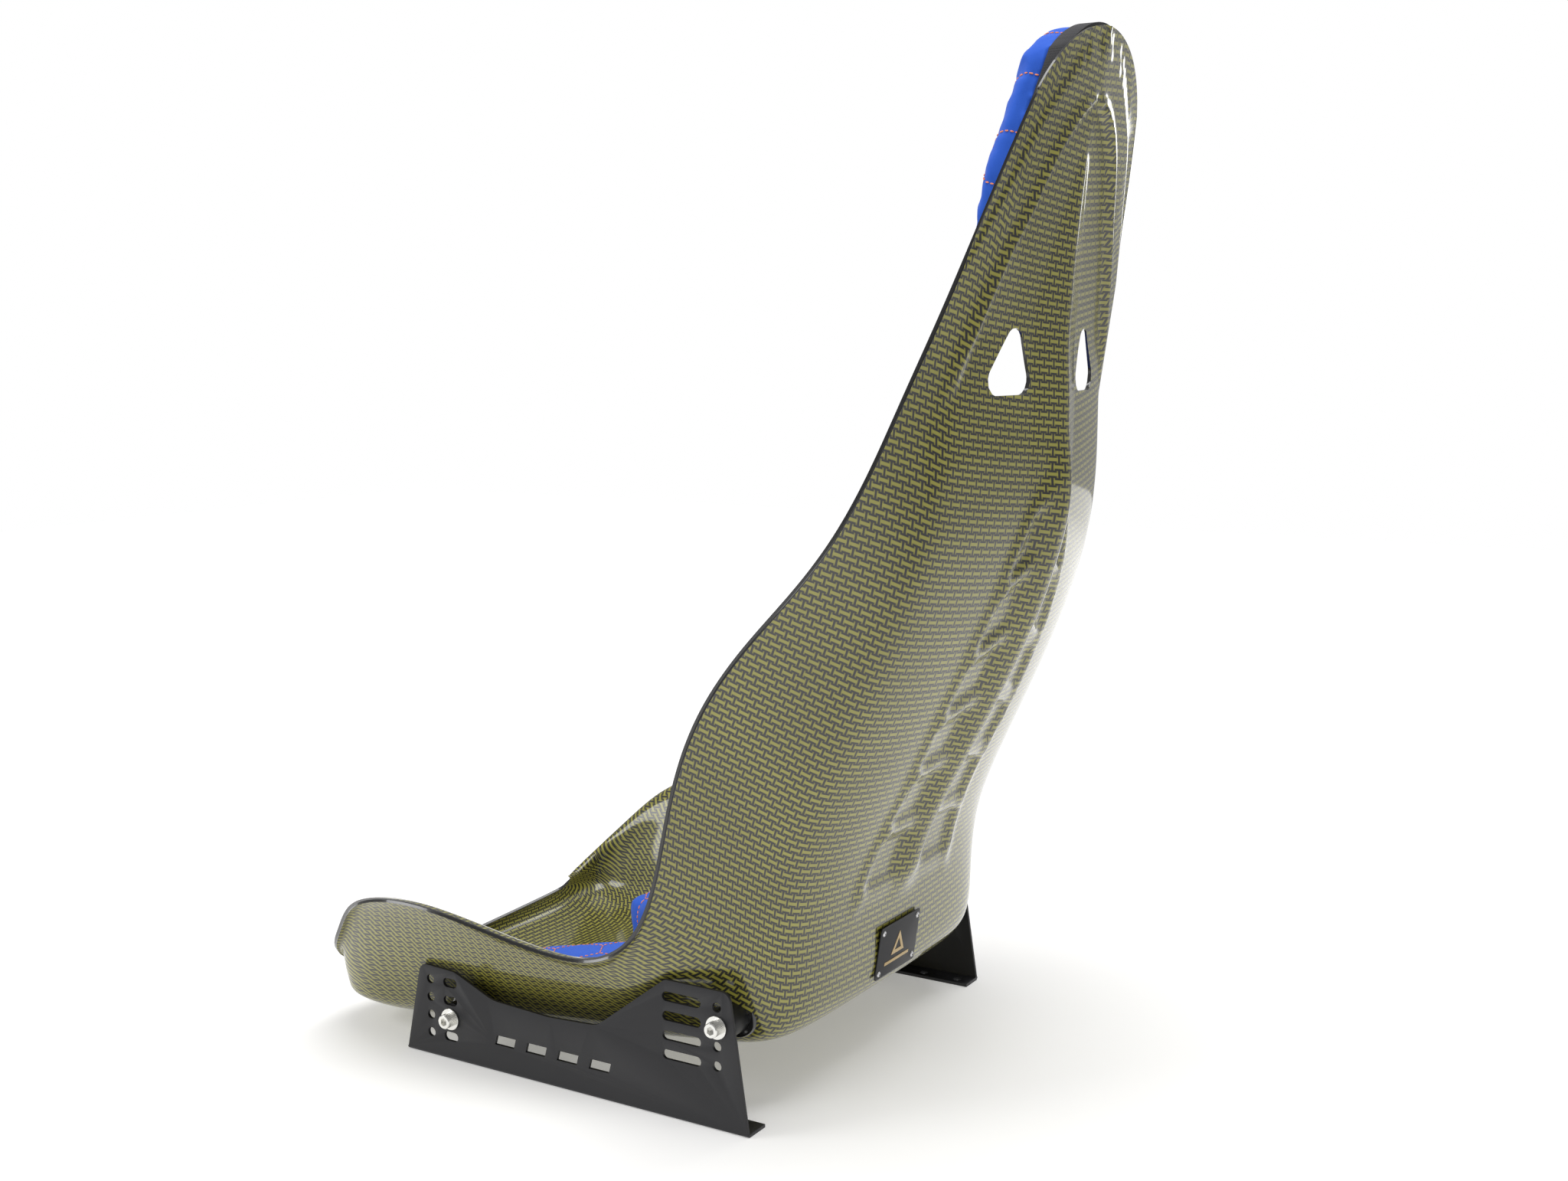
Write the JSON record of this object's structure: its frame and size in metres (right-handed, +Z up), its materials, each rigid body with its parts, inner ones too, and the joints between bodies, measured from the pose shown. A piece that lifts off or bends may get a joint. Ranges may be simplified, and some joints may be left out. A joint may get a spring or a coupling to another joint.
{
  "type": "racing seat",
  "caption": "One-piece woven-composite bucket racing seat with harness openings, lift-off padding and side-mount brackets for floor bolts.",
  "frame": {"origin": "centre of the outer floor-bolt pattern, on the underside of the two brackets", "axes": "+X to the seat's left, -Y the way the sitter faces, +Z up"},
  "size_m": [0.5246, 0.7015, 0.9],
  "materials": {
    "woven_composite": "glossy clear-coated black and yellow-green hybrid weave",
    "insert_metal": "machined",
    "bracket_metal": "satin black powder coat",
    "bolt_zinc": "bright zinc plate",
    "spacer_black": "satin black anodised",
    "badge_black": "satin black",
    "rivet_metal": "satin",
    "emblem_gold": "satin gold",
    "tape_black": "hook and loop tape",
    "pad_black": "matte knitted cloth",
    "pad_blue": "soft suede with orange-pink stitching"
  },
  "bodies": {
    "frame": {"shell": "woven_composite", "front_inserts": "insert_metal", "rear_inserts": "insert_metal", "left_bracket": "bracket_metal", "right_bracket": "bracket_metal", "front_bolts": "bolt_zinc", "rear_bolts": "bolt_zinc", "front_washers": "bolt_zinc", "rear_washers": "bolt_zinc", "front_left_spacer": "spacer_black", "front_right_spacer": "spacer_black", "rear_left_spacer": "spacer_black", "rear_right_spacer": "spacer_black", "badge_plate": "badge_black", "badge_rivets": "rivet_metal", "badge_emblem": "emblem_gold", "head_pad_hook_tape": "tape_black", "back_pad_hook_tape": "tape_black", "seat_pad_hook_tape": "tape_black"},
    "head_pad": {"head_pad_loop_tape": "tape_black", "head_pad_base": "pad_black", "head_pad_cushion": "pad_blue"},
    "back_pad": {"back_pad_loop_tape": "tape_black", "back_pad_base": "pad_black", "back_pad_cushion": "pad_blue"},
    "seat_pad": {"seat_pad_loop_tape": "tape_black", "seat_pad_base": "pad_black", "seat_pad_cushion": "pad_blue"}
  },
  "joints": [
    {"name": "head_pad_lift", "type": "slide", "parent": "frame", "child": "head_pad", "axis": [0, -1, 0], "range_m": [0, 0.06]},
    {"name": "back_pad_lift", "type": "slide", "parent": "frame", "child": "back_pad", "axis": [0, -1, 0], "range_m": [0, 0.06]},
    {"name": "seat_pad_lift", "type": "slide", "parent": "frame", "child": "seat_pad", "axis": [0, 0, 1], "range_m": [0, 0.06]}
  ]
}
